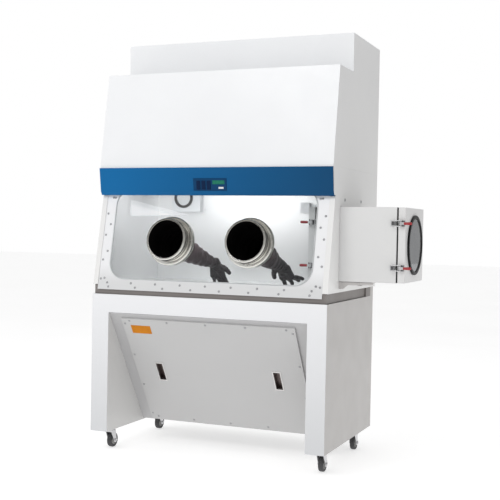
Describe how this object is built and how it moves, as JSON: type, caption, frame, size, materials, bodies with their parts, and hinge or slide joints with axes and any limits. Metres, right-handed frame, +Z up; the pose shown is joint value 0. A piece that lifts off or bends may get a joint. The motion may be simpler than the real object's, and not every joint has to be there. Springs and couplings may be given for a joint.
{
  "type": "laboratory glove box",
  "caption": "Sealed steel cabinet on a wheeled stand with a sloping window, two gloved ports, a hood over it and a side pass box with two clamped doors.",
  "frame": {"origin": "on the floor, at the middle of the object's plan outline with its pass box", "axes": "+X to the operator's right (towards the pass box), +Y to the back, +Z up"},
  "size_m": [1.6028, 0.8496, 2.1532],
  "materials": {
    "front_paint": "satin powder coat",
    "side_paint": "satin powder coat",
    "pass_paint": "satin powder coat",
    "rail_paint": "satin",
    "bracket_paint": "satin",
    "liner_steel": "brushed",
    "port_steel": "polished",
    "small_steel": "zinc plated",
    "collar_steel": "galvanised",
    "screw_steel": "satin",
    "glass": "clear laminated",
    "seal_rubber": "matt",
    "glove_rubber": "soft matt",
    "fascia_blue": "gloss",
    "display": "gloss",
    "key_navy": "soft touch",
    "lamp_white": "gloss",
    "filter_media": "pleated paper in a frame",
    "blower_paint": "satin",
    "impeller_alu": "satin",
    "fitting_plastic": "satin",
    "latch_black": "satin",
    "lever_grip": "dipped grip",
    "wheel": "grey rubber tyre on a nylon hub",
    "pedal": "satin"
  },
  "bodies": {
    "cabinet": {"stand_front_frame": "front_paint", "front_bezel": "front_paint", "hood_cover": "front_paint", "top_box_cover": "front_paint", "stand_side_panels": "side_paint", "left_side_panel": "side_paint", "right_side_panel": "side_paint", "rear_panels": "side_paint", "knee_panel": "side_paint", "pass_box_body": "pass_paint", "support_rails": "rail_paint", "pass_box_bracket": "bracket_paint", "chamber_liner": "liner_steel", "work_tray": "liner_steel", "supply_diffuser": "liner_steel", "glove_ports": "port_steel", "pull_cups": "port_steel", "hinge_leaves": "small_steel", "caster_plates": "small_steel", "exhaust_collar": "collar_steel", "panel_screws": "screw_steel", "window_glass": "glass", "rubber_seals": "seal_rubber", "glove_left": "glove_rubber", "glove_right": "glove_rubber", "blue_fascia": "fascia_blue", "display_panel": "display", "lamp_tube": "lamp_white", "hepa_filters": "filter_media", "blower_housing": "blower_paint", "rear_wall_fittings": "fitting_plastic", "latch_strikes": "latch_black"},
    "outer_door": {"outer_door": "pass_paint", "outer_door_ring": "seal_rubber", "outer_door_glass": "glass", "latch_bases_outer": "latch_black"},
    "inner_door": {"inner_door": "pass_paint", "latch_bases_inner": "latch_black"},
    "impeller": {"impeller": "impeller_alu"},
    "key_left": {"key_left": "key_navy"},
    "key_middle": {"key_middle": "key_navy"},
    "key_right": {"key_right": "key_navy"},
    "lever_outer_top": {"lever_outer_top": "lever_grip"},
    "lever_outer_low": {"lever_outer_low": "lever_grip"},
    "lever_inner_top": {"lever_inner_top": "lever_grip"},
    "lever_inner_low": {"lever_inner_low": "lever_grip"},
    "hook_outer_top": {"hook_outer_top": "small_steel"},
    "hook_outer_low": {"hook_outer_low": "small_steel"},
    "hook_inner_top": {"hook_inner_top": "small_steel"},
    "hook_inner_low": {"hook_inner_low": "small_steel"},
    "fork_front_left": {"fork_front_left": "small_steel"},
    "wheel_front_left": {"wheel_front_left": "wheel"},
    "fork_front_right": {"fork_front_right": "small_steel"},
    "wheel_front_right": {"wheel_front_right": "wheel"},
    "fork_rear_left": {"fork_rear_left": "small_steel"},
    "wheel_rear_left": {"wheel_rear_left": "wheel"},
    "fork_rear_right": {"fork_rear_right": "small_steel"},
    "wheel_rear_right": {"wheel_rear_right": "wheel"},
    "pedal_rear_left": {"pedal_rear_left": "pedal"},
    "pedal_rear_right": {"pedal_rear_right": "pedal"}
  },
  "joints": [
    {"name": "outer_door_hinge", "type": "hinge", "parent": "cabinet", "child": "outer_door", "pos_m": [0.73062, 0.15075, 1.0815], "axis": [0, 0, 1], "range_deg": [0, 105]},
    {"name": "inner_door_hinge", "type": "hinge", "parent": "cabinet", "child": "inner_door", "pos_m": [0.33063, 0.15075, 1.0815], "axis": [0, 0, 1], "range_deg": [-88, 0], "deforming": ["glove_right"]},
    {"name": "lever_outer_top_swing", "type": "hinge", "parent": "outer_door", "child": "lever_outer_top", "pos_m": [0.74562, -0.24025, 1.183], "axis": [0, 0, 1], "range_deg": [-110, 0]},
    {"name": "hook_outer_top_turn", "type": "hinge", "parent": "lever_outer_top", "child": "hook_outer_top", "pos_m": [0.74962, -0.24725, 1.183], "axis": [0, 0, 1], "range_deg": [0, 110]},
    {"name": "lever_inner_top_swing", "type": "hinge", "parent": "inner_door", "child": "lever_inner_top", "pos_m": [0.31562, -0.24025, 1.183], "axis": [0, 0, 1], "range_deg": [0, 110]},
    {"name": "hook_inner_top_turn", "type": "hinge", "parent": "lever_inner_top", "child": "hook_inner_top", "pos_m": [0.31162, -0.24725, 1.183], "axis": [0, 0, 1], "range_deg": [-110, 0]},
    {"name": "lever_outer_low_swing", "type": "hinge", "parent": "outer_door", "child": "lever_outer_low", "pos_m": [0.74562, -0.24025, 0.976], "axis": [0, 0, 1], "range_deg": [-110, 0]},
    {"name": "hook_outer_low_turn", "type": "hinge", "parent": "lever_outer_low", "child": "hook_outer_low", "pos_m": [0.74962, -0.24725, 0.976], "axis": [0, 0, 1], "range_deg": [0, 110]},
    {"name": "lever_inner_low_swing", "type": "hinge", "parent": "inner_door", "child": "lever_inner_low", "pos_m": [0.31562, -0.24025, 0.976], "axis": [0, 0, 1], "range_deg": [0, 110]},
    {"name": "hook_inner_low_turn", "type": "hinge", "parent": "lever_inner_low", "child": "hook_inner_low", "pos_m": [0.31162, -0.24725, 0.976], "axis": [0, 0, 1], "range_deg": [-110, 0]},
    {"name": "swivel_front_left", "type": "hinge", "parent": "cabinet", "child": "fork_front_left", "pos_m": [-0.74938, -0.29025, 0.09], "axis": [0, 0, 1], "continuous": true},
    {"name": "roll_front_left", "type": "hinge", "parent": "fork_front_left", "child": "wheel_front_left", "pos_m": [-0.74938, -0.26525, 0.0375], "axis": [1, 0, 0], "continuous": true},
    {"name": "swivel_front_right", "type": "hinge", "parent": "cabinet", "child": "fork_front_right", "pos_m": [0.40063, -0.29025, 0.09], "axis": [0, 0, 1], "continuous": true},
    {"name": "roll_front_right", "type": "hinge", "parent": "fork_front_right", "child": "wheel_front_right", "pos_m": [0.40063, -0.26525, 0.0375], "axis": [1, 0, 0], "continuous": true},
    {"name": "swivel_rear_left", "type": "hinge", "parent": "cabinet", "child": "fork_rear_left", "pos_m": [-0.74938, 0.22975, 0.09], "axis": [0, 0, 1], "continuous": true},
    {"name": "roll_rear_left", "type": "hinge", "parent": "fork_rear_left", "child": "wheel_rear_left", "pos_m": [-0.74938, 0.25475, 0.0375], "axis": [1, 0, 0], "continuous": true},
    {"name": "swivel_rear_right", "type": "hinge", "parent": "cabinet", "child": "fork_rear_right", "pos_m": [0.40063, 0.22975, 0.09], "axis": [0, 0, 1], "continuous": true},
    {"name": "roll_rear_right", "type": "hinge", "parent": "fork_rear_right", "child": "wheel_rear_right", "pos_m": [0.40063, 0.25475, 0.0375], "axis": [1, 0, 0], "continuous": true},
    {"name": "brake_rear_left", "type": "hinge", "parent": "fork_rear_left", "child": "pedal_rear_left", "pos_m": [-0.74938, 0.26575, 0.082], "axis": [1, 0, 0], "range_deg": [-12, 0]},
    {"name": "brake_rear_right", "type": "hinge", "parent": "fork_rear_right", "child": "pedal_rear_right", "pos_m": [0.40063, 0.26575, 0.082], "axis": [1, 0, 0], "range_deg": [-12, 0]},
    {"name": "impeller_spin", "type": "hinge", "parent": "cabinet", "child": "impeller", "pos_m": [-0.17438, 0.07975, 1.69], "axis": [1, 0, 0], "continuous": true},
    {"name": "key_left_press", "type": "slide", "parent": "cabinet", "child": "key_left", "axis": [0, 0.9894, 0.1455], "range_m": [0, 0.002], "stiffness_N_per_m": 400},
    {"name": "key_middle_press", "type": "slide", "parent": "cabinet", "child": "key_middle", "axis": [0, 0.9894, 0.1455], "range_m": [0, 0.002], "stiffness_N_per_m": 400},
    {"name": "key_right_press", "type": "slide", "parent": "cabinet", "child": "key_right", "axis": [0, 0.9894, 0.1455], "range_m": [0, 0.002], "stiffness_N_per_m": 400}
  ],
  "couplings": [
    {"joint": "hook_outer_top_turn", "follows": "lever_outer_top_swing", "ratio": -1},
    {"joint": "hook_outer_low_turn", "follows": "lever_outer_low_swing", "ratio": -1},
    {"joint": "hook_inner_top_turn", "follows": "lever_inner_top_swing", "ratio": -1},
    {"joint": "hook_inner_low_turn", "follows": "lever_inner_low_swing", "ratio": -1}
  ]
}
